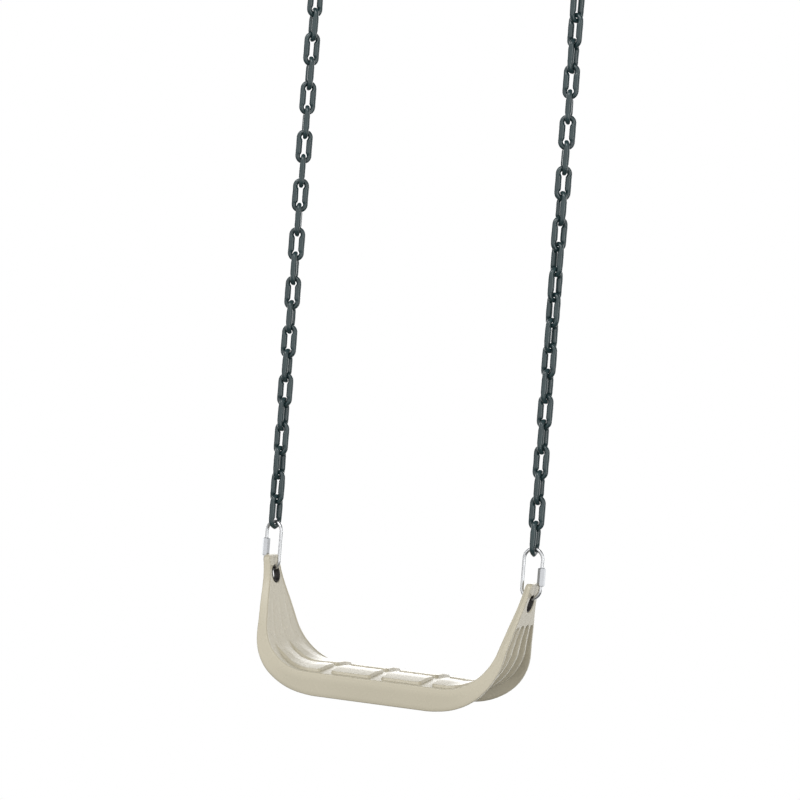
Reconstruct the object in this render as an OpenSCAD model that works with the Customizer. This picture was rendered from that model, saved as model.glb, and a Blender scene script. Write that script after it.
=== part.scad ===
// Rigid moulded swing seat hung by quick links on two coated chains.
// Frame: millimetres, +X along the seat to its right, +Y to the rear, +Z up.
// The origin is midway between the two beam brackets, on the underside of the beam.

/* [Seat] */
// Half the length of the flat bottom
seat_flat = 96.5; // [85:0.5:120]
// Radius of the top surface in the two bends
bend_r = 69; // [60:1:80]
// Outward lean of the uprights, in degrees
lean = 12.5; // [8:0.5:16]
// Height of the side holes above the flat top surface
hole_height = 117; // [110:1:130]
// Height of the upright tips above the holes
tip_height = 26; // [24:1:27]
// Depth of the skirts under the flat bottom
skirt_flat = 31; // [26:1:38]
// Depth of the skirts halfway round the bends
skirt_bend = 22; // [19:1:26]
// Depth of the skirts where the uprights begin
skirt_upright = 12; // [11:0.5:14]
// Thickness of the solid tips
tip_t = 8.5; // [8:0.5:9]
// Half the front-to-rear depth of the seat
half_depth = 69; // [60:1:75]
// Half the width of the tips
tip_half_w = 17.5; // [17:0.5:20]
// Thickness of the seat plate
plate_t = 4; // [3:0.5:5]
// Thickness of the skirt walls
wall_t = 4.5; // [3.5:0.5:6]
// Height of the crown along the middle of the seat
crown_h = 5; // [3:0.5:7]
// Height of the raised pads
pad_h = 2.2; // [1.5:0.1:3]
// Depth of the long ribs below the plate
rib_h = 8; // [6:1:10]
// Thickness of the long ribs
rib_t = 3.6; // [3:0.2:4.4]
// Distance from the holes down to the tops of the grooves
groove_drop = 34; // [30:1:40]

/* [Bushings] */
// Outer diameter of the hole bushings
bushing_d = 23; // [23:0.5:25]
// Smallest diameter inside the bushings
bushing_bore = 20; // [18:0.5:20]

/* [Chain] */
// Number of links in each chain
link_count = 23; // [4:1:23]
// Distance from one link to the next
link_pitch = 33; // [33:1:36]
// Diameter of the coated wire
chain_wire = 6.8; // [6:0.1:6.8]
// Outer width of a link
link_w = 22.4; // [22.4:0.1:24]
// Play between two links
link_play = 0.4; // [0.4:0.1:0.8]
// Turn of the left chain from each link to the next, beyond a quarter turn, in degrees
left_turn = 3.1; // [0:0.1:4]
// How fast the right chain's turn builds up towards the top, in degrees
right_turn = 0.26; // [0:0.01:0.28]

/* [Quick links] */
// Diameter of the quick link wire
quick_wire = 5; // [4.5:0.5:5]
// Outer width of a quick link
quick_w = 31; // [30:0.5:33]
// Outer length of a quick link
quick_len = 69.7; // [68:0.1:74]
// Length of the sleeve nut
nut_len = 24; // [22:0.5:25]
// Width of the sleeve nut across its flats
nut_flats = 9; // [8:0.5:9]

/* [Beam brackets] */
// Length of the bracket plate
bracket_len = 90; // [84:1:110]
// Width of the bracket plate
bracket_w = 40; // [34:1:50]
// Distance between the two bolt holes
bolt_spacing = 64; // [60:1:70]
// Diameter of the bolt holes
bolt_hole_d = 9; // [7:0.5:10]

/* [Hidden] */
$fn = 48;
eps = 0.01;
far = 400;

// Beam brackets: a plate with two ears and a riveted pin
plate_thick = 5;
pin_z = -24;
pin_d = 10;
pin_play = 0.06;
ear_x = 9;
ear_t = 4;
ear_r = 14;
rivet_wide = 0.8 * pin_d;
rivet_narrow = 0.55 * pin_d;
rivet_h = 4;

// Pendulums: a hub on the pin, a shank, and an eye squeezed shut round the top link
hub_r = 10;
hub_half = ear_x - 1;
shank_r = 4.5;
ring_wire = 6.5;
ring_r = 12;
ring_z = pin_z - 31;
ring_play = 0.5;
seam_w = 0.8;
seam_turn = 38;

// Heights of the hanging stack, from the pendulums down
quick_r = quick_wire / 2;
quick_half = (quick_w - quick_wire) / 2;
quick_span = quick_len - quick_wire;
chain_r = chain_wire / 2;
link_half = (link_w - chain_wire) / 2;
link_inner = link_pitch + link_play;
top_link_z = ring_z - ring_r + ring_wire / 2 + ring_play - link_inner / 2;
bottom_link_z = top_link_z - (link_count - 1) * link_pitch;
low_crown_z = bottom_link_z - link_inner / 2 + link_play + quick_r;
low_quick_z = low_crown_z - quick_span / 2;
// The lower quick links' wire lies this far above the middle of the seat's holes
wire_over_hole = 4.9;
hole_z = low_crown_z - quick_span - wire_over_hole;
seat_z = hole_z - hole_height;

// Seat path: the top surface seen from the front, by the distance s along it from the middle
bend_deg = 90 - lean;
bend_len = bend_r * bend_deg * PI / 180;
bend_top = bend_r * (1 - cos(bend_deg));
upright_len = (hole_height + tip_height - bend_top) / cos(lean);
path_len = seat_flat + bend_len + upright_len;
hole_s = path_len - tip_height / cos(lean);
bend_steps = 10;
function bend_at(s) = min(max((s - seat_flat) / bend_len, 0), 1) * bend_deg;
function path_x(s) = min(s, seat_flat) + bend_r * sin(bend_at(s))
    + max(s - seat_flat - bend_len, 0) * sin(lean);
function path_z(s) = bend_r * (1 - cos(bend_at(s))) + max(s - seat_flat - bend_len, 0) * cos(lean);
// A point at distance d below or outside the top surface
function skin(s, d) = [path_x(s) + d * sin(bend_at(s)), path_z(s) - d * cos(bend_at(s))];
function skirt(s) = lookup(s, [
    [seat_flat, skirt_flat],
    [seat_flat + bend_len / 2, skirt_bend],
    [seat_flat + bend_len, skirt_upright],
    [path_len, tip_t]]);
stations = concat(
    [0, seat_flat],
    [for (i = [1:bend_steps]) seat_flat + bend_len * i / bend_steps],
    [seat_flat + bend_len + upright_len * 0.5, path_len]);
last = len(stations) - 1;
// Half depth of the seat by the height above the flat top surface: it narrows up to the rounded tips
tip_z = hole_height + tip_height;
groove_z = hole_height - groove_drop;
bend_low_z = 0.10 * bend_top;
bend_mid_z = 0.42 * bend_top;
neck_z = groove_z + 0.6 * groove_drop;
depth_rows = [
    [-skirt_flat - 5, half_depth],
    [0, half_depth],
    [bend_low_z, 0.985 * half_depth],
    [bend_mid_z, 0.92 * half_depth],
    [bend_top, 0.75 * half_depth],
    [groove_z, 0.56 * half_depth],
    [neck_z, 0.40 * half_depth],
    [hole_height, 0.315 * half_depth],
    [tip_z - 9, tip_half_w + 0.6],
    [tip_z - 3, tip_half_w - 2.4],
    [tip_z + 5, tip_half_w - 10]];
function half_at(z) = lookup(z, depth_rows);
// Middle of rib j, from -1 to 1, at a height; the ribs stand half of the half depth apart
rib_share = 0.5;
function rib_y(j, z) = j * half_at(z) * rib_share;
groove_draw_in = 0.97;
groove_r = half_at(groove_z) * rib_share / 2 - rib_t / 2;

// Pads: two rows of four, the outer ones running up into the bends
pad_mid_gap = 7.5;
pad_end = 0.66 * seat_flat;
outer_pad_start = 0.80 * seat_flat;
outer_pad_end = seat_flat + 0.62 * bend_r;
pad_row_in = 5;
pad_row_out = half_depth - 11;
pad_corner = 5;
pad_round_fn = 32;
// The crown stops this far short of the front and rear edges
crown_margin = 6;
crown_fn = 360;

// Hanging lines: through the quick links, just outside the middle of the tips
hole_x = skin(hole_s, skirt(hole_s) / 2)[0];
wire_beyond_hole = 3.6;
hang_x = hole_x + wire_beyond_hole;

// Rubber bushings: just inside the tips' faces, with a mouth that flares at both ends
bushing_inset = 0.3;
bushing_play = 0.05;
flare_w = 1.1;
flare_len = 2.64;

// The nut slides up its leg from the closed end
nut_low = -15;
stub_len = 2;
gap_len = 6.5;
nut_play = 0.06;

side_names = ["left", "right"];
function side_x(side) = side == "left" ? -hang_x : hang_x;
// Direction of a link's plane, counted up from the seat
function link_turn(side, k) = 90 * (k - 1) + (side == "left"
    ? 72 + left_turn * (k - 1)
    : 86 - right_turn * pow(k - 1, 2));
function link_name(side, k) = str(side, "_link_", k < 10 ? "0" : "", k);
// Turned by half turns until it lies nearest to X
function near_x(a) = a - 180 * round(a / 180);
// The quick links and the pendulum eyes cross the links next to them at right angles
function quick_turn(side) = near_x(link_turn(side, 1) - 90);
function eye_turn(side) = near_x(link_turn(side, link_count) - 90);

// Half of a round-wire crown in the XZ plane, open downwards
module crown(r_mid, r_wire) {
    rotate([90, 0, 0]) rotate_extrude(angle = 180) translate([r_mid, 0]) circle(r = r_wire);
}

// Closed loop of round wire in the XZ plane, inner_len long inside
module wire_loop(half_w, r_wire, straight) {
    for (up = [0, 1]) mirror([0, 0, up]) translate([0, 0, straight]) crown(half_w, r_wire);
    for (sx = [-1, 1]) translate([sx * half_w, 0, -straight - eps])
        cylinder(r = r_wire, h = 2 * (straight + eps));
}

module chain_link(side, k) {
    color([0.13, 0.19, 0.20])
    translate([side_x(side), 0, bottom_link_z + (k - 1) * link_pitch])
    rotate([0, 0, link_turn(side, k)])
    wire_loop(link_half, chain_r, link_inner / 2 + chain_r - link_half);
}

// Wire loop with a gap in its outer leg, which the nut closes
module quick_link(side) {
    out = side == "left" ? -1 : 1;
    straight = quick_span / 2 - quick_half;
    color([0.78, 0.79, 0.80])
    translate([side_x(side), 0, low_quick_z]) rotate([0, 0, quick_turn(side)]) difference() {
        wire_loop(quick_half, quick_r, straight);
        translate([out * quick_half - quick_w / 4, -quick_wire, nut_low + stub_len])
            cube([quick_w / 2, 2 * quick_wire, gap_len]);
    }
}

module sleeve_nut(side) {
    out = side == "left" ? -1 : 1;
    corner = nut_flats / 2 / cos(30);
    bevel = 1.2;
    color([0.72, 0.73, 0.75])
    translate([side_x(side), 0, low_quick_z]) rotate([0, 0, quick_turn(side)])
    translate([out * quick_half, 0, nut_low]) difference() {
        intersection() {
            rotate([0, 0, 30]) cylinder(r = corner, h = nut_len, $fn = 6);
            union() {
                cylinder(r1 = corner - bevel, r2 = corner, h = bevel);
                translate([0, 0, bevel]) cylinder(r = corner, h = nut_len - 2 * bevel);
                translate([0, 0, nut_len - bevel]) cylinder(r1 = corner, r2 = corner - bevel, h = bevel);
            }
        }
        translate([0, 0, -1]) cylinder(r = quick_r + nut_play, h = nut_len + 2);
    }
}

module beam_bracket(side) {
    color([0.70, 0.71, 0.72]) translate([side_x(side), 0, 0]) {
        difference() {
            translate([-bracket_len / 2, -bracket_w / 2, -plate_thick])
                cube([bracket_len, bracket_w, plate_thick]);
            for (sx = [-1, 1]) translate([sx * bolt_spacing / 2, 0, -plate_thick - 1])
                cylinder(d = bolt_hole_d, h = plate_thick + 2);
        }
        for (sx = [-1, 1]) translate([sx * (ear_x + ear_t / 2) - ear_t / 2, 0, 0]) {
            translate([0, -ear_r, pin_z]) cube([ear_t, 2 * ear_r, -pin_z - plate_thick + eps]);
            translate([0, 0, pin_z]) rotate([0, 90, 0]) cylinder(r = ear_r, h = ear_t);
        }
        pin_half = ear_x + ear_t + 1;
        translate([-pin_half, 0, pin_z]) rotate([0, 90, 0]) cylinder(d = pin_d, h = 2 * pin_half);
        for (sx = [0, 1]) mirror([sx, 0, 0]) translate([ear_x + ear_t - eps, 0, pin_z])
            rotate([0, 90, 0]) cylinder(r1 = rivet_wide, r2 = rivet_narrow, h = rivet_h);
    }
}

module pendulum(side) {
    color([0.66, 0.67, 0.69]) translate([side_x(side), 0, 0]) difference() {
        union() {
            translate([-hub_half, 0, pin_z]) rotate([0, 90, 0]) cylinder(r = hub_r, h = 2 * hub_half);
            translate([0, 0, ring_z + ring_r]) cylinder(r = shank_r, h = pin_z - ring_z - ring_r);
            translate([0, 0, ring_z]) rotate([0, 0, eye_turn(side)]) rotate([90, 0, 0]) difference() {
                rotate_extrude() translate([ring_r, 0]) circle(d = ring_wire);
                rotate([0, 0, 90 - seam_turn]) translate([0, -seam_w / 2, -ring_wire])
                    cube([2 * ring_r, seam_w, 2 * ring_wire]);
            }
        }
        translate([-hub_half - 1, 0, pin_z]) rotate([0, 90, 0])
            cylinder(r = pin_d / 2 + pin_play, h = 2 * hub_half + 2);
    }
}

// Band of the seat's section in XZ between two depths below the top surface, given as functions of s
module seat_band(inner, outer) {
    right_in = [for (i = [0:last]) skin(stations[i], inner[i])];
    right_out = [for (i = [last:-1:0]) skin(stations[i], outer[i])];
    left_out = [for (i = [1:last]) [-skin(stations[i], outer[i])[0], skin(stations[i], outer[i])[1]]];
    left_in = [for (i = [last:-1:1]) [-skin(stations[i], inner[i])[0], skin(stations[i], inner[i])[1]]];
    translate([0, far / 2, 0]) rotate([90, 0, 0])
        linear_extrude(height = far) polygon(concat(right_in, right_out, left_out, left_in));
}

// Outline of the seat seen from the side, drawn in by a margin, from its lowest edge up to a height
module side_outline(margin, top) {
    rows = [for (row = depth_rows) if (row[0] < top) row];
    heights = concat([for (row = rows) row[0]], [top]);
    front = [for (z = heights) [-half_at(z) + margin, z]];
    rear = [for (i = [len(heights) - 1:-1:0]) [half_at(heights[i]) - margin, heights[i]]];
    polygon(concat(front, rear));
}

// Extrudes a shape drawn as (y, z) along X, right through the seat
module along_x() {
    rotate([90, 0, 90]) translate([0, 0, -far / 2]) linear_extrude(height = far) children();
}

function flat_list(d) = [for (s = stations) d];

module seat_shell() {
    difference() {
        intersection() {
            seat_band(flat_list(0), [for (s = stations) skirt(s)]);
            along_x() side_outline(0, tip_z + 1);
        }
        intersection() {
            seat_band(flat_list(plate_t), flat_list(2 * skirt_flat));
            along_x() union() {
                side_outline(wall_t, groove_z);
                for (j = [-1.5:1:1.5]) translate([rib_y(j, groove_z) * groove_draw_in, groove_z])
                    circle(r = groove_r);
            }
        }
    }
}

// Three long ribs under the plate, which draw together up the uprights
module seat_ribs() {
    rib_zs = [-skirt_flat, 0, bend_mid_z, bend_top, groove_z + groove_r];
    sink = 0.5;
    intersection() {
        seat_band(flat_list(plate_t - sink), [for (s = stations) min(plate_t + rib_h, skirt(s) - sink)]);
        along_x() for (j = [-1:1:1]) polygon(concat(
            [for (z = rib_zs) [rib_y(j, z) - rib_t / 2, z]],
            [for (i = [len(rib_zs) - 1:-1:0]) [rib_y(j, rib_zs[i]) + rib_t / 2, rib_zs[i]]]));
    }
}

// Arched section of the crown along the middle, as a slice of a large circle, raised by h
module crown_section(h) {
    base = half_depth - crown_margin;
    r = (pow(base, 2) + pow(crown_h, 2)) / (2 * crown_h);
    along_x() intersection() {
        translate([0, crown_h - r]) circle(r = r + h, $fn = crown_fn);
        translate([-base, -1]) square([2 * base, crown_h + h + 2]);
    }
}

module seat_crown() {
    intersection() {
        crown_section(0);
        seat_band(flat_list(-crown_h - 1), flat_list(1));
    }
}

// Four rounded rectangles from x0 to x1, one in each quarter of the seat
module pad_plan(x0, x1) {
    len = x1 - x0;
    wide = pad_row_out - pad_row_in;
    for (sx = [-1, 1]) for (sy = [-1, 1])
        translate([sx > 0 ? x0 : -x1, sy > 0 ? pad_row_in : -pad_row_out, -1])
            linear_extrude(height = bend_top) union() {
                translate([pad_corner, 0]) square([len - 2 * pad_corner, wide]);
                translate([0, pad_corner]) square([len, wide - 2 * pad_corner]);
                for (cx = [pad_corner, len - pad_corner]) for (cy = [pad_corner, wide - pad_corner])
                    translate([cx, cy]) circle(r = pad_corner, $fn = pad_round_fn);
            }
}

module seat_pads() {
    intersection() {
        union() {
            pad_plan(pad_mid_gap, pad_end);
            pad_plan(outer_pad_start, outer_pad_end);
        }
        seat_band(flat_list(-crown_h - pad_h - 1), flat_list(1));
        union() {
            crown_section(pad_h);
            seat_band(flat_list(-pad_h), flat_list(1));
        }
    }
}

// Puts its children on the axis of a side's hole, with +Z out of the seat
module at_hole(side) {
    mid = skin(hole_s, skirt(hole_s) / 2);
    out = side == "left" ? -1 : 1;
    translate([out * mid[0], 0, mid[1]]) rotate([0, out * (180 - bend_deg), 0]) children();
}

module seat() {
    color([0.77, 0.73, 0.64]) translate([0, 0, seat_z]) difference() {
        union() {
            seat_shell();
            seat_ribs();
            seat_crown();
            seat_pads();
        }
        for (side = side_names) at_hole(side)
            translate([0, 0, -2 * tip_t]) cylinder(d = bushing_d, h = 4 * tip_t);
    }
}

module seat_bushing(side) {
    len_half = skirt(hole_s) / 2 - bushing_inset;
    r_out = bushing_d / 2 - bushing_play;
    function flare_at(a, end) = [
        bushing_bore / 2 + flare_w * (1 - sin(a)),
        end * (len_half - flare_len * (1 - cos(a)))];
    color([0.10, 0.10, 0.11]) translate([0, 0, seat_z]) at_hole(side) rotate_extrude()
        polygon(concat(
            [[r_out, -len_half], [r_out, len_half]],
            [for (a = [0:15:90]) flare_at(a, 1)],
            [for (a = [90:-15:0]) flare_at(a, -1)]));
}

for (side = side_names) {
    beam_bracket(side);
    pendulum(side);
    for (k = [link_count:-1:1])
        chain_link(side, k);
    quick_link(side);
    sleeve_nut(side);
    seat_bushing(side);
}
seat();
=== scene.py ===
"""Looks of a moulded swing seat hung on two coated chains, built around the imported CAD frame.

Everything is in metres, in the frame of the CAD row: +X along the seat, +Y to the rear, +Z up.
"""
import math

import bmesh
import bpy
import numpy as np
from mathutils import Matrix, Vector


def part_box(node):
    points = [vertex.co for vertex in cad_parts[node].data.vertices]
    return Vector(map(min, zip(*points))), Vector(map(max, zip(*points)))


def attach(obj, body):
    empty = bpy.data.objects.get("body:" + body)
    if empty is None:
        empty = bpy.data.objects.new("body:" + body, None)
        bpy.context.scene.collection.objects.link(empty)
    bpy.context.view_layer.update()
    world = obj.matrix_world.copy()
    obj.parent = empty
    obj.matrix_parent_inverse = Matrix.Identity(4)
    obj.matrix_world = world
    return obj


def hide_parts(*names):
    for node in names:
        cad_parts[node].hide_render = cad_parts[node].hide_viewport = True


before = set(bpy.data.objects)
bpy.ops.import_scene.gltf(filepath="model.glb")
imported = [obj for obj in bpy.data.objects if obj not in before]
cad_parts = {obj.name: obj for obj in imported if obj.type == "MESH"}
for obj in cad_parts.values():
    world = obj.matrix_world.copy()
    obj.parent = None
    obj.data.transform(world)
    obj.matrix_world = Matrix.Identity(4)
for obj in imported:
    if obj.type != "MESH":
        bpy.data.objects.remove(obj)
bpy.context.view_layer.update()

MM = 0.001


# ---------------------------------------------------------------------------
# Sizes that follow from the frame
# ---------------------------------------------------------------------------

def middle(node):
    """Centre of a CAD node's box."""
    lo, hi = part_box(node)
    return (Vector(lo) + Vector(hi)) / 2


SEAT_LO, SEAT_HI = (Vector(corner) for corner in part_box("seat"))
HOLE_Z = middle("right_seat_bushing").z
BUSHING_LO, BUSHING_HI = (Vector(corner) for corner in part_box("right_seat_bushing"))
BUSHING_PLAY = 0.05 * MM
HOLE_R = (BUSHING_HI.y - BUSHING_LO.y) / 2 + BUSHING_PLAY
TIP_Z = SEAT_HI.z
HALF_DEPTH = SEAT_HI.y

# The seat's proportions: as in the CAD, but for the pads and ribs, which are fuller here
HOLE_HEIGHT = 117 * MM
SEAT_Z = HOLE_Z - HOLE_HEIGHT
SEAT_FLAT = 96.5 * MM
BEND_R = 69 * MM
LEAN = math.radians(12.5)
PLATE_T = 4 * MM
WALL_T = 4.5 * MM
RIB_H = 8 * MM
RIB_HALF = 2.5 * MM
PAD_H = 3.0 * MM
CROWN_H = 5 * MM
GROOVE_DROP = 34 * MM
RIM_BEAD = 0.8 * MM
TIP_ROUND = 8.5 * MM
HOLE_EDGE_R = 0.9 * MM

# The pads: distances along the seat in mm, and the places of their long edges as shares of the half depth
MIDDLE_PAD = (7.5, 64)
END_PAD = (79, 190)
PAD_FRONT, PAD_BACK = 0.826, 0.075
PAD_DOME = 0.9 * MM
HALF_DEPTH_MM = 69

BEND_ANGLE = math.pi / 2 - LEAN
BEND_LEN = BEND_R * BEND_ANGLE
BEND_TOP = BEND_R * (1 - math.cos(BEND_ANGLE))
UPRIGHT_LEN = (TIP_Z - SEAT_Z - BEND_TOP) / math.cos(LEAN)
PATH_LEN = SEAT_FLAT + BEND_LEN + UPRIGHT_LEN
HOLE_S = PATH_LEN - (TIP_Z - HOLE_Z) / math.cos(LEAN)
GROOVE_S = HOLE_S - GROOVE_DROP / math.cos(LEAN)


# ---------------------------------------------------------------------------
# Mesh helpers
# ---------------------------------------------------------------------------

def smoothstep(x, low, high):
    """0 below low, 1 above high, smooth in between."""
    u = np.clip((x - low) / (high - low), 0, 1)
    return u * u * (3 - 2 * u)


def add_mesh(name, points, faces):
    """Makes a smooth-shaded object from points and faces and links it to the scene."""
    mesh = bpy.data.meshes.new(name)
    mesh.from_pydata([tuple(p) for p in points], [], [tuple(f) for f in faces])
    mesh.validate()
    mesh.polygons.foreach_set("use_smooth", [True] * len(mesh.polygons))
    mesh.update()
    obj = bpy.data.objects.new(name, mesh)
    bpy.context.scene.collection.objects.link(obj)
    return obj


def grid_faces(rows, cols, close_rows=False, close_cols=False):
    """Quads of a grid of points stored row by row."""
    faces = []
    for i in range(rows if close_rows else rows - 1):
        below = ((i + 1) % rows) * cols
        here = i * cols
        for j in range(cols if close_cols else cols - 1):
            k = (j + 1) % cols
            faces.append((here + j, here + k, below + k, below + j))
    return faces


# ---------------------------------------------------------------------------
# The moulded seat
# ---------------------------------------------------------------------------

def path_at(s):
    """Place x, height above the flat top, slope and side of the seat's top at signed distance s."""
    side = np.sign(s)
    along = np.abs(s)
    angle = np.clip((along - SEAT_FLAT) / BEND_LEN, 0, 1) * BEND_ANGLE
    straight = np.maximum(along - SEAT_FLAT - BEND_LEN, 0)
    x = np.minimum(along, SEAT_FLAT) + BEND_R * np.sin(angle) + straight * math.sin(LEAN)
    z = BEND_R * (1 - np.cos(angle)) + straight * math.cos(LEAN)
    return side * x, z, angle, side


def half_depth_at(z):
    """Half the seat's depth, front to rear, at height z above the flat top: wide below, narrow above."""
    groove_z = HOLE_HEIGHT - GROOVE_DROP
    heights = np.array([-0.05, 0, 0.10 * BEND_TOP, 0.42 * BEND_TOP, BEND_TOP, groove_z,
                        HOLE_HEIGHT - 0.4 * GROOVE_DROP, HOLE_HEIGHT, HOLE_HEIGHT + 17 * MM, 0.2])
    halves = np.array([1, 1, 0.985, 0.92, 0.75, 0.56, 0.40, 0.315, 0.262, 0.262]) * HALF_DEPTH
    blur = np.linspace(-7, 7, 9) * MM
    return np.mean([np.interp(z + d, heights, halves) for d in blur], axis=0)


def skirt_depth(s):
    """How far the skirts reach below the top surface."""
    places = [SEAT_FLAT - 10 * MM, SEAT_FLAT + BEND_LEN / 2, SEAT_FLAT + BEND_LEN, PATH_LEN]
    depths = np.array([31, 22, 12, 8.5]) * MM
    blur = np.linspace(-8, 8, 7) * MM
    return np.mean([np.interp(np.abs(s) + d, places, depths) for d in blur], axis=0)


def fillet(inside, radius):
    """Drop of a rounded edge, for a point this far inside it."""
    short = np.clip(radius - inside, 0, radius)
    return radius - np.sqrt(np.maximum(radius ** 2 - short ** 2, 0))


def seat_rows():
    """Signed distances of the mesh rows: close together where the surface has detail."""
    length = PATH_LEN / MM
    near_edge = (-3.5, -2.2, -1.4, -0.8, -0.35, 0, 0.35, 0.8, 1.4, 2.2, 3.5, 5)
    near_end = (3.2, 2.5, 1.9, 1.4, 1.0, 0.7, 0.4, 0.18, 0)
    fine = [edge + d for edge in (*MIDDLE_PAD, END_PAD[0]) for d in near_edge]
    fine += list(range(12, 60, 5)) + [68, 71.5, 85, 90, 95]
    for start, stop, step in ((97.5, 166, 1.2), (166, 204, 1.6), (204, length - 4, 1.15)):
        fine += list(np.arange(start, stop, step))
    fine += [length - d for d in near_end]
    half = np.unique(np.round(np.array(fine), 3)) * MM
    return np.concatenate([-half[::-1], half])


def seat_columns():
    """Places of the mesh columns as shares of the half depth: close together at edges and walls."""
    rim = np.array([0, 0.3, 0.6, 0.9, 1.2, 1.6, 2.1, 2.7, 3.4, 4.2, 5.0, 5.8, 6.8])
    near_pad = (-1.5, 0, 0.35, 0.8, 1.5, 2.4)
    smallest_step = 0.0038
    pads = [PAD_FRONT - d / HALF_DEPTH_MM for d in near_pad]
    pads += [PAD_BACK + d / HALF_DEPTH_MM for d in near_pad]
    plain = np.arange(0, 62, 1.1) / HALF_DEPTH_MM
    half = np.unique(np.round(np.concatenate([1 - rim / HALF_DEPTH_MM, pads, plain]), 4))
    keep = [half[0]]
    for value in half[1:]:
        if value - keep[-1] > smallest_step:
            keep.append(value)
    half = np.array(keep)
    half[-1] = 1.0
    return np.concatenate([-half[:0:-1], half])


def pad_height(s, share, half):
    """Two rows of four raised pads with rounded edges; the end pads fade out up the bends."""
    along = np.abs(s)
    height = np.zeros_like(along)
    corner, roll, dome_width = 6 * MM, 1.4 * MM, 24 * MM
    front = PAD_FRONT - 0.17 * smoothstep(along, 92 * MM, 150 * MM)
    for start, stop in (MIDDLE_PAD, END_PAD):
        in_s = np.minimum(along - start * MM, stop * MM - along)
        in_y = np.minimum(front - np.abs(share), np.abs(share) - PAD_BACK) * half
        both = (in_s < corner) & (in_y < corner)
        round_corner = corner - np.hypot(corner - in_s, corner - in_y)
        inside = np.where(both, round_corner, np.minimum(in_s, in_y))
        rise = np.sqrt(np.clip(1 - np.clip(1 - inside / roll, 0, 1) ** 2, 0, 1))
        dome = PAD_DOME * np.clip(in_y / dome_width, 0, 1)
        height = np.maximum(height, np.where(inside > 0, (PAD_H + dome) * rise, 0))
    fade = 1 - smoothstep(along, 138 * MM, 166 * MM)
    return height * fade


def crown_height(s, y):
    """Low arch from front to rear along the flat bottom, which dies out in the bends."""
    rim_width = 5 * MM
    arch = CROWN_H * np.clip(1 - (y / (HALF_DEPTH - rim_width)) ** 2, 0, 1)
    return arch * (1 - smoothstep(np.abs(s), SEAT_FLAT - 6 * MM, SEAT_FLAT + 42 * MM))


def rim_drop(inside, lip):
    """Profile of the rim: a small radius, then a lip that leans out over its height."""
    lean_width, radius = 1.0 * MM, 2.6 * MM
    round_part = fillet(inside - lean_width, radius)
    lean_part = radius + (lip - radius) * np.clip(1 - inside / lean_width, 0, 1)
    return np.where(inside > lean_width, round_part, lean_part)


def rib_marks(s, y, half):
    """Faint sink marks over the ribs on the inner faces of the uprights."""
    mark_depth, mark_width = 0.22 * MM, 2.4 * MM
    along = np.abs(s)
    begins = smoothstep(along, 150 * MM, 185 * MM)
    goes_on = 1 - smoothstep(along, GROOVE_S - 6 * MM, GROOVE_S + 4 * MM)
    marks = sum(np.exp(-((y - j * half / 2) / mark_width) ** 2) for j in (-1, 0, 1))
    return mark_depth * marks * (begins * goes_on)


def underside_depth(s, y, half, depth, inside):
    """Depth of the underside: plate, three ribs, skirts, and the solid top of each upright."""
    rib_draft, skirt_draft, low_edge_r, skirt_reveal = 2.8 * MM, 1.5 * MM, 1.6 * MM, 0.5 * MM
    along, near = np.abs(s), np.abs(y)
    past = np.maximum(along - GROOVE_S, 0)
    lanes = ((RIB_HALF, half / 2 - RIB_HALF), (half / 2 + RIB_HALF, half - WALL_T))
    hollow = np.full_like(s, -1.0)
    for inner, outer in lanes:
        lane = (outer - inner) / 2 - np.hypot(near - (inner + outer) / 2, past)
        hollow = np.maximum(hollow, lane)
    web = 1 - smoothstep(hollow, 0, rib_draft)
    in_skirt = smoothstep(near, half - WALL_T - skirt_draft, half - WALL_T)
    solid = smoothstep(along, GROOVE_S - 14 * MM, GROOVE_S + 2 * MM)
    rib = np.minimum(PLATE_T + RIB_H, depth - skirt_reveal)
    high = rib + (depth - rib) * np.maximum(in_skirt, solid)
    rounded = high - fillet(inside, low_edge_r)
    return PLATE_T + (rounded - PLATE_T) * web


def seat_points(s, y, depth):
    """3-D places of points on the seat at distance s, sideways y and depth below the top surface."""
    x, z, angle, side = path_at(s)
    return np.stack([x + side * depth * np.sin(angle), y, SEAT_Z + z - depth * np.cos(angle)], axis=-1)


def touched_points(cells, shape):
    """Marks the grid points that belong to any of the marked cells."""
    marked = np.zeros(shape, bool)
    for di in (0, 1):
        for dj in (0, 1):
            marked[di:shape[0] - 1 + di, dj:shape[1] - 1 + dj] |= cells
    return marked


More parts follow.
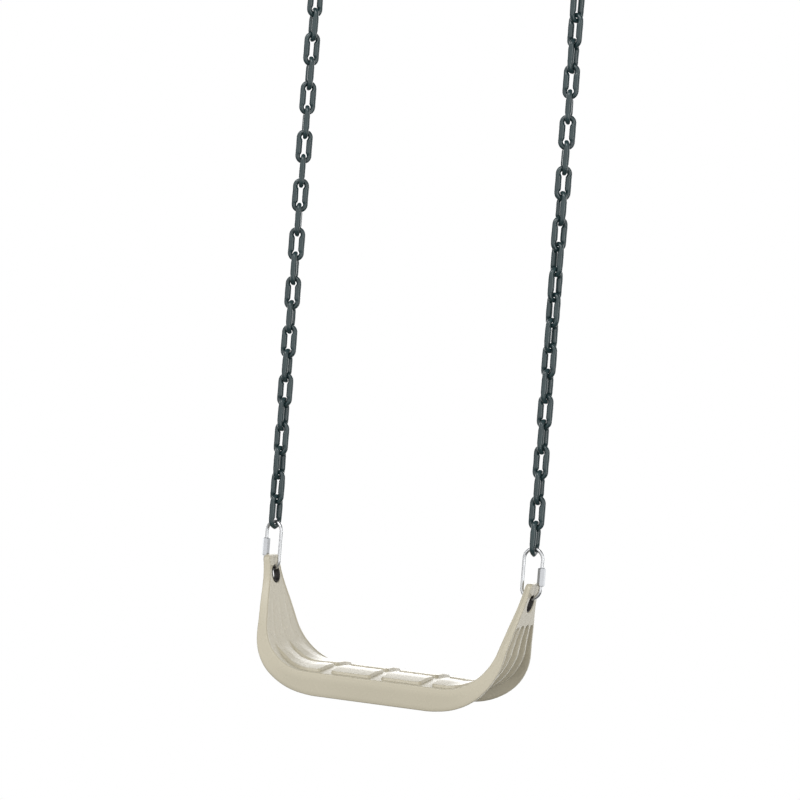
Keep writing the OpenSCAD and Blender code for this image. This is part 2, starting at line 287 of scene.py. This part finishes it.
def build_seat():
    """The whole seat as one closed mesh: top, rim, skirts, ribbed underside and the two bored tips."""
    rows, cols = seat_rows(), seat_columns()
    s, share = np.meshgrid(rows, cols, indexing="ij")
    _, z, angle, _ = path_at(s)
    depth = skirt_depth(s)
    half = half_depth_at(z)
    near_end = np.clip(TIP_ROUND - (PATH_LEN - np.abs(s)) * math.cos(LEAN), 0, TIP_ROUND)
    shrink = TIP_ROUND - np.sqrt(np.maximum(TIP_ROUND ** 2 - near_end ** 2, 0))
    edge_half = half - shrink
    slope = np.gradient(edge_half[:, 0], rows)[:, None]
    to_side = (1 - np.abs(share)) * edge_half / np.sqrt(1 + slope ** 2)
    inside = np.minimum(to_side, PATH_LEN - np.abs(s))
    y = share * edge_half

    # The top surface, and the underside with its wider lower edge
    lip = np.minimum(6.5 * MM, depth * 0.5)
    raised = (pad_height(s, share, half) + crown_height(s, y)) * smoothstep(inside, 1 * MM, 7 * MM)
    dish = RIM_BEAD * smoothstep(inside, 4.2 * MM, 6.4 * MM)
    top = rim_drop(inside, lip) + dish - raised + rib_marks(s, y, half)
    wider = half_depth_at(z - depth * np.cos(angle)) - half
    y_low = share * (edge_half + wider)
    under = underside_depth(s, y, half, depth, inside)

    # The holes: cells within them are left out, and the points round them are moved onto the circle
    hole = np.hypot(np.abs(s) - HOLE_S, y)
    cut = 0.25 * (hole[:-1, :-1] + hole[1:, :-1] + hole[:-1, 1:] + hole[1:, 1:]) < HOLE_R
    ring = touched_points(~cut, s.shape) & touched_points(cut, s.shape)
    ring_scale = HOLE_R / np.maximum(hole, 1e-6)
    s_ring = np.sign(s) * (HOLE_S + (np.abs(s) - HOLE_S) * ring_scale)
    s = np.where(ring, s_ring, s)
    y = np.where(ring, y * ring_scale, y)
    y_low = np.where(ring, y, y_low)
    round_hole = fillet(np.hypot(np.abs(s) - HOLE_S, y) - HOLE_R, HOLE_EDGE_R)
    top = top + round_hole
    under = under - round_hole

    points = np.concatenate([
        seat_points(s, y, top).reshape(-1, 3),
        seat_points(s, y_low, under).reshape(-1, 3)])
    count, wide = s.size, s.shape[1]
    faces = []
    for i, j in np.argwhere(~cut).tolist():
        a = i * wide + j
        b, c, d = a + 1, a + wide + 1, a + wide
        faces.append((a, d, c, b))
        faces.append((count + a, count + b, count + c, count + d))
    faces += bore_faces(cut, count, wide)
    points, side_faces = skirt_faces(points, s.shape)
    faces += side_faces
    seat = add_mesh("seat_moulding", points, faces)
    clean_up(seat)
    return seat


def bore_faces(cut, count, cols_n):
    """Walls of the two holes, from the top surface to the underside."""
    faces = []
    rows_n, wide = cut.shape
    for i, j in np.argwhere(cut).tolist():
        a = i * cols_n + j
        b, c, d = a + 1, a + cols_n + 1, a + cols_n
        if i == 0 or not cut[i - 1, j]:
            faces.append((b, a, count + a, count + b))
        if i == rows_n - 1 or not cut[i + 1, j]:
            faces.append((d, c, count + c, count + d))
        if j == 0 or not cut[i, j - 1]:
            faces.append((a, d, count + d, count + a))
        if j == wide - 1 or not cut[i, j + 1]:
            faces.append((c, b, count + b, count + c))
    return faces


def skirt_faces(points, shape):
    """Outer faces of the skirts and tips: strips from the rim to the lower edge, all the way round."""
    rows_n, cols_n = shape
    count = rows_n * cols_n
    loop = [(i, cols_n - 1) for i in range(rows_n)]
    loop += [(rows_n - 1, j) for j in range(cols_n - 2, -1, -1)]
    loop += [(i, 0) for i in range(rows_n - 2, -1, -1)]
    loop += [(0, j) for j in range(1, cols_n - 1)]
    index = np.array([i * cols_n + j for i, j in loop])
    total = len(index)
    steps = 5
    high = points[index]
    low = points[count + index]
    strips = [index]
    extra = []
    for step in range(1, steps):
        mix = step / steps
        extra.append(high * (1 - mix) + low * mix)
        strips.append(2 * count + (step - 1) * total + np.arange(total))
    strips.append(count + index)
    faces = []
    for upper, lower in zip(strips[:-1], strips[1:]):
        for k in range(total):
            n = (k + 1) % total
            faces.append((upper[k], upper[n], lower[n], lower[k]))
    return np.concatenate([points] + extra), faces


def clean_up(obj):
    """Deletes points that no face uses and turns all faces outwards."""
    mesh = bmesh.new()
    mesh.from_mesh(obj.data)
    loose = [v for v in mesh.verts if not v.link_faces]
    bmesh.ops.delete(mesh, geom=loose, context="VERTS")
    bmesh.ops.recalc_face_normals(mesh, faces=mesh.faces)
    mesh.to_mesh(obj.data)
    mesh.free()


# ---------------------------------------------------------------------------
# Chain links
# ---------------------------------------------------------------------------

LINK_OUTER = 22.4 * MM
LINK_WIRE_R = 3.4 * MM
LINK_SIDE_R = 4.4 * MM
LINK_SKIN = 0.06 * MM
DRIP_LEN, DRIP_R = 1.2 * MM, 3.0 * MM


def link_turn(node):
    """Direction of a link's plane, from the extent of its CAD node in X and Y."""
    points = np.array([v.co[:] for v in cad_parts[node].data.vertices])
    centre = points.mean(axis=0)
    flat = points[:, :2] - centre[:2]
    _, vectors = np.linalg.eigh(flat.T @ flat)
    wide = vectors[:, 1]
    return math.atan2(wide[1], wide[0])


def drip_drop(x, y, z, half_len):
    """How far the coating has run down at the lowest point of a chain, into a small drop."""
    under = float(smoothstep(-z, half_len, half_len + LINK_WIRE_R))
    return DRIP_LEN * under * math.exp(-(x / DRIP_R) ** 2 - (y / DRIP_R) ** 2)


def build_link(node, seed):
    """One coated link: thick, slightly uneven sides and slimmer crowns where it bears on its neighbours."""
    rng = np.random.default_rng(seed)
    lo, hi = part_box(node)
    centre = middle(node)
    half_len = (hi[2] - lo[2]) / 2 - LINK_WIRE_R
    half_w = LINK_OUTER / 2 - LINK_WIRE_R
    straight = half_len - half_w
    along, around = 64, 20
    arc_share = math.pi * half_w / (math.pi * half_w + 2 * straight)
    waves = [(rng.uniform(0.05, 0.10) * MM, rng.integers(2, 6), rng.uniform(0, 2 * math.pi))
             for _ in range(4)]
    points = []
    for i in range(along):
        u = (i / along) * 2
        half_turn, u = int(u), u % 1
        if u < arc_share:
            angle = math.pi * u / arc_share
            x, z = half_w * math.cos(angle), straight + half_w * math.sin(angle)
            out = (math.cos(angle), math.sin(angle))
        else:
            run = (u - arc_share) / (1 - arc_share)
            x, z = -half_w, straight * (1 - 2 * run)
            out = (-1.0, 0.0)
        if half_turn:
            x, z, out = -x, -z, (-out[0], -out[1])
        thick = 1 - float(smoothstep(abs(z), 8.0 * MM, 12.0 * MM))
        radius = LINK_WIRE_R + (LINK_SIDE_R - LINK_WIRE_R) * thick
        inward = radius - LINK_WIRE_R
        keep = float(smoothstep(straight + half_w * 0.6 - abs(z), 0, 6 * MM))
        for j in range(around):
            turn = 2 * math.pi * j / around
            lump = sum(a * math.sin(n * 2 * math.pi * i / along + n * turn / 2 + p) for a, n, p in waves)
            r = radius + lump * keep * 0.5 - LINK_SKIN
            across, off = r * math.cos(turn), r * math.sin(turn)
            point = [x + out[0] * (across - inward), off, z + out[1] * (across - inward)]
            if node.endswith("_01"):
                point[2] -= drip_drop(*point, half_len)
            points.append(point)
    spin = Matrix.Rotation(link_turn(node), 4, "Z")
    points = [Matrix.Translation(centre) @ spin @ Vector(p) for p in points]
    return add_mesh(node + "_coated", points, grid_faces(along, around, True, True))


# ---------------------------------------------------------------------------
# Materials
# ---------------------------------------------------------------------------

class Shader:
    """A material with its node tree, and short calls that add nodes to it."""

    def __init__(self, name):
        self.material = bpy.data.materials.new(name)
        self.material.use_nodes = True
        self.tree = self.material.node_tree
        self.surface = self.tree.nodes["Principled BSDF"]

    def add(self, kind, inputs=None, **settings):
        node = self.tree.nodes.new(kind)
        for key, value in settings.items():
            setattr(node, key, value)
        for key, value in (inputs or {}).items():
            if isinstance(value, bpy.types.NodeSocket):
                self.tree.links.new(value, node.inputs[key])
            else:
                node.inputs[key].default_value = value
        return node

    def set(self, **values):
        """Sets sockets of the surface shader; spaces in their names are written as underscores."""
        for key, value in values.items():
            socket = self.surface.inputs[key.replace("_", " ")]
            if isinstance(value, bpy.types.NodeSocket):
                self.tree.links.new(value, socket)
            else:
                socket.default_value = value

    def place(self):
        return self.add("ShaderNodeTexCoord").outputs["Object"]

    def noise(self, scale, detail=4.0, roughness=0.55, place=None):
        node = self.add("ShaderNodeTexNoise", {"Vector": place or self.place(), "Scale": scale,
                                               "Detail": detail, "Roughness": roughness})
        return node.outputs["Fac"]

    def ramp(self, value, stops):
        node = self.add("ShaderNodeValToRGB", {"Fac": value})
        elements = node.color_ramp.elements
        while len(elements) < len(stops):
            elements.new(0.5)
        for element, (position, colour) in zip(elements, stops):
            element.position = position
            element.color = (*colour, 1)
        return node.outputs["Color"]

    def remap(self, value, low, high, to_low, to_high):
        node = self.add("ShaderNodeMapRange", {"Value": value, "From Min": low, "From Max": high,
                                               "To Min": to_low, "To Max": to_high})
        return node.outputs["Result"]

    def mix(self, share, first, second):
        node = self.add("ShaderNodeMix", data_type="RGBA")
        for socket, value in ((node.inputs[0], share), (node.inputs[6], first), (node.inputs[7], second)):
            if isinstance(value, bpy.types.NodeSocket):
                self.tree.links.new(value, socket)
            else:
                socket.default_value = (*value, 1) if isinstance(value, tuple) else value
        return node.outputs[2]

    def bump(self, height, strength, distance):
        inputs = {"Height": height, "Strength": strength, "Distance": distance}
        return self.add("ShaderNodeBump", inputs).outputs["Normal"]


def seat_plastic():
    m = Shader("seat_plastic")
    cloud = m.noise(9, 3)
    speck = m.noise(150, 2, 0.6)
    base = m.ramp(cloud, [(0.32, (0.522, 0.479, 0.366)), (0.68, (0.540, 0.496, 0.381))])
    base = m.mix(m.remap(speck, 0.50, 0.80, 0, 0.05), base, (0.46, 0.42, 0.32))
    rough = m.remap(m.noise(60, 4), 0.3, 0.7, 0.26, 0.29)
    m.set(Base_Color=base, Roughness=rough, IOR=1.52, Specular_IOR_Level=0.62)
    return m.material


def chain_coating():
    m = Shader("chain_coating")
    tone = m.noise(70, 3)
    base = m.ramp(tone, [(0.35, (0.015, 0.035, 0.039)), (0.7, (0.021, 0.046, 0.050))])
    dust = m.remap(m.noise(600, 3, 0.7), 0.68, 0.85, 0, 0.15)
    base = m.mix(dust, base, (0.07, 0.10, 0.10))
    rough = m.remap(m.noise(240, 3), 0.3, 0.75, 0.10, 0.18)
    lumps = m.bump(m.noise(130, 2), 0.12, 0.0005)
    m.set(Base_Color=base, Roughness=rough, Normal=lumps, IOR=1.5,
          Coat_Weight=0.35, Coat_Roughness=0.08)
    return m.material


def zinc(name, tint, rough_low, rough_high, turned=False):
    m = Shader(name)
    place = m.place()
    if turned:
        place = m.add("ShaderNodeMapping", {"Vector": place, "Scale": (1, 1, 14)}).outputs["Vector"]
    cloud = m.noise(160, 4, 0.6, place)
    base = m.ramp(cloud, [(0.3, tuple(0.86 * c for c in tint)), (0.72, tint)])
    stain = m.remap(m.noise(45, 5), 0.56, 0.74, 0, 0.30)
    base = m.mix(stain, base, (0.36, 0.35, 0.33))
    rough = m.remap(m.noise(200, 3, 0.6, place), 0.3, 0.7, rough_low, rough_high)
    scratch = m.bump(m.noise(500, 3, 0.6, place), 0.05, 0.0001)
    m.set(Base_Color=base, Metallic=1.0, Roughness=rough, Normal=scratch)
    return m.material


def galvanised(name):
    m = Shader(name)
    cells = m.add("ShaderNodeTexVoronoi", {"Vector": m.place(), "Scale": 210.0, "Randomness": 1.0})
    flake = m.add("ShaderNodeSeparateColor", {"Color": cells.outputs["Color"]}).outputs[0]
    base = m.ramp(flake, [(0.1, (0.27, 0.28, 0.30)), (0.9, (0.42, 0.44, 0.46))])
    grime = m.remap(m.noise(30, 5), 0.55, 0.75, 0, 0.35)
    base = m.mix(grime, base, (0.28, 0.27, 0.25))
    rough = m.remap(flake, 0, 1, 0.34, 0.52)
    skin = m.bump(m.noise(500, 3), 0.15, 0.0003)
    m.set(Base_Color=base, Metallic=0.95, Roughness=rough, Normal=skin)
    return m.material


def dark_rubber():
    m = Shader("bushing_rubber")
    base = m.ramp(m.noise(120, 4), [(0.35, (0.012, 0.010, 0.009)), (0.7, (0.028, 0.024, 0.021))])
    rough = m.remap(m.noise(300, 3), 0.3, 0.7, 0.42, 0.62)
    m.set(Base_Color=base, Roughness=rough, Normal=m.bump(m.noise(800, 2), 0.2, 0.0002), IOR=1.5)
    return m.material


def stage_white():
    m = Shader("stage_white")
    m.set(Base_Color=(0, 0, 0, 1), Specular_IOR_Level=0.0,
          Emission_Color=(1, 1, 1, 1), Emission_Strength=1.0)
    return m.material


def give(obj, material):
    """Puts a material in all of an object's slots."""
    if not obj.data.materials:
        obj.data.materials.append(material)
    for i in range(len(obj.data.materials)):
        obj.data.materials[i] = material
    for slot in obj.material_slots:
        slot.material = material


# ---------------------------------------------------------------------------
# The pieces
# ---------------------------------------------------------------------------

def make_object():
    plastic = seat_plastic()
    seat = build_seat()
    give(seat, plastic)
    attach(seat, "seat")
    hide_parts("seat")

    coating = chain_coating()
    links = sorted(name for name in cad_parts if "_link_" in name and "quick" not in name)
    for seed, node in enumerate(links):
        link = build_link(node, seed)
        give(link, coating)
        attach(link, node)
        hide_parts(node)

    wire = zinc("zinc_wire", (0.66, 0.67, 0.68), 0.14, 0.24)
    nut = zinc("zinc_nut", (0.62, 0.635, 0.655), 0.20, 0.32, turned=True)
    steel = galvanised("bracket_steel")
    forged = zinc("pendulum_steel", (0.62, 0.63, 0.65), 0.30, 0.45)
    rubber = dark_rubber()
    kinds = {"quick_link": wire, "nut": nut, "beam_bracket": steel,
             "pendulum": forged, "seat_bushing": rubber}
    for name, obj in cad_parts.items():
        for kind, material in kinds.items():
            if name.endswith(kind):
                give(obj, material)


# ---------------------------------------------------------------------------
# Stage, light and camera
# ---------------------------------------------------------------------------

STAGE_DROP, STAGE_SIDES = 2.4, 96


def make_stage():
    """White floor that curves up into a wall all round and closes overhead: every side can be seen."""
    floor_z = SEAT_LO.z - STAGE_DROP
    flat, sweep, roof_z, centre_r = 7.0, 3.0, 9.0, 0.02
    quarter = np.linspace(0, math.pi / 2, 17)
    profile = [(centre_r, 0.0)]
    profile += [(flat + sweep * math.sin(a), sweep * (1 - math.cos(a))) for a in quarter]
    profile += [(flat + sweep * math.cos(a), roof_z + sweep * math.sin(a)) for a in quarter]
    profile.append((centre_r, roof_z + sweep))
    turns = np.linspace(0, 2 * math.pi, STAGE_SIDES, endpoint=False)
    points = [(r * math.cos(t), r * math.sin(t), floor_z + z) for r, z in profile for t in turns]
    floor = add_mesh("stage_floor", points, grid_faces(len(profile), STAGE_SIDES, close_cols=True))
    give(floor, stage_white())
    floor.visible_diffuse = False
    floor.visible_glossy = False
    floor.visible_shadow = False


def area_light(name, place, target, size, power):
    light = bpy.data.lights.new(name, "AREA")
    light.shape = "RECTANGLE"
    light.size, light.size_y = size
    light.energy = power
    obj = bpy.data.objects.new(name, light)
    obj.location = place
    obj.rotation_euler = (Vector(target) - Vector(place)).to_track_quat("-Z", "Y").to_euler()
    bpy.context.scene.collection.objects.link(obj)


# Strengths of the surroundings: at the sides, behind and in front of the object, and shares of them
SIDE_LIGHT, REAR_LIGHT, FRONT_LIGHT = 0.38, 2.75, 1.21
REAR_RIGHT_SHARE, FRONT_LEFT_SHARE = 0.42, 0.5
GROUND_SHARE, SKY_SHARE = 0.27, 0.50


def studio_world():
    """A studio round the object: bright behind and in front, dim at the sides, above and below."""
    world = bpy.data.worlds.new("studio")
    world.use_nodes = True
    tree = world.node_tree
    nodes, links = tree.nodes, tree.links
    place = nodes.new("ShaderNodeTexCoord").outputs["Generated"]
    split = nodes.new("ShaderNodeSeparateXYZ")
    links.new(place, split.inputs[0])

    def math_node(operation, first, second):
        node = nodes.new("ShaderNodeMath")
        node.operation = operation
        for socket, value in zip(node.inputs, (first, second)):
            if isinstance(value, bpy.types.NodeSocket):
                links.new(value, socket)
            else:
                socket.default_value = value
        return node.outputs[0]

    def step(value, low, high, to_low, to_high):
        node = nodes.new("ShaderNodeMapRange")
        node.interpolation_type = "SMOOTHSTEP"
        links.new(value, node.inputs["Value"])
        for key, number in (("From Min", low), ("From Max", high), ("To Min", to_low), ("To Max", to_high)):
            node.inputs[key].default_value = number
        return node.outputs["Result"]

    rear = step(split.outputs["Y"], 0.1, 0.85, 0.0, REAR_LIGHT - SIDE_LIGHT)
    rear = math_node("MULTIPLY", rear, step(split.outputs["Z"], 0.15, 0.65, 1.0, 0.0))
    rear = math_node("MULTIPLY", rear, step(split.outputs["X"], -0.15, 0.35, 1.0, REAR_RIGHT_SHARE))
    front = step(split.outputs["Y"], -0.85, 0.0, FRONT_LIGHT - SIDE_LIGHT, 0.0)
    front = math_node("MULTIPLY", front, step(split.outputs["X"], -0.8, -0.3, FRONT_LEFT_SHARE, 1.0))
    horizon = math_node("ADD", math_node("ADD", rear, front), SIDE_LIGHT)
    lower = step(split.outputs["Z"], -0.6, 0.05, GROUND_SHARE, 1.0)
    upper = step(split.outputs["Z"], 0.5, 0.95, 1.0, SKY_SHARE)
    strength = math_node("MULTIPLY", math_node("MULTIPLY", horizon, lower), upper)
    nodes["Background"].inputs["Color"].default_value = (1, 1, 1, 1)
    links.new(strength, nodes["Background"].inputs["Strength"])
    bpy.context.scene.world = world


def make_light():
    studio_world()
    aim = (0, 0, SEAT_Z + 0.2)
    area_light("key", (-0.3, -1.3, SEAT_Z + 2.1), (0, 0, SEAT_Z), (2.2, 0.9), 15)
    area_light("strip_left", (-1.5, -1.7, SEAT_Z + 0.8), aim, (0.14, 2.4), 3.2)
    area_light("strip_right", (2.0, -1.0, SEAT_Z + 0.4), aim, (0.5, 2.4), 11)


CAMERA_ANGLES = (22, 0.82, 4.47)
CAMERA_DISTANCE = 3.293
CAMERA_TARGET = Vector((-0.0178, 0, HOLE_Z + 0.2487))
LENS_MM = 111.5


def make_camera():
    """A long lens, a little to the right and above the seat, tilted so that the chains lean."""
    azimuth, elevation, roll = (math.radians(a) for a in CAMERA_ANGLES)
    forward = Vector((-math.sin(azimuth) * math.cos(elevation),
                      math.cos(azimuth) * math.cos(elevation),
                      -math.sin(elevation)))
    camera = bpy.data.cameras.new("camera")
    camera.sensor_width = 36
    camera.lens = LENS_MM
    camera.clip_start, camera.clip_end = 0.1, 50
    obj = bpy.data.objects.new("camera", camera)
    obj.location = CAMERA_TARGET - CAMERA_DISTANCE * forward
    look = forward.to_track_quat("-Z", "Y")
    obj.rotation_mode = "QUATERNION"
    obj.rotation_quaternion = look @ Matrix.Rotation(roll, 3, "Z").to_quaternion()
    bpy.context.scene.collection.objects.link(obj)
    bpy.context.scene.camera = obj
    bpy.context.scene.view_settings.view_transform = "Standard"


make_camera()
make_object()
make_stage()
make_light()
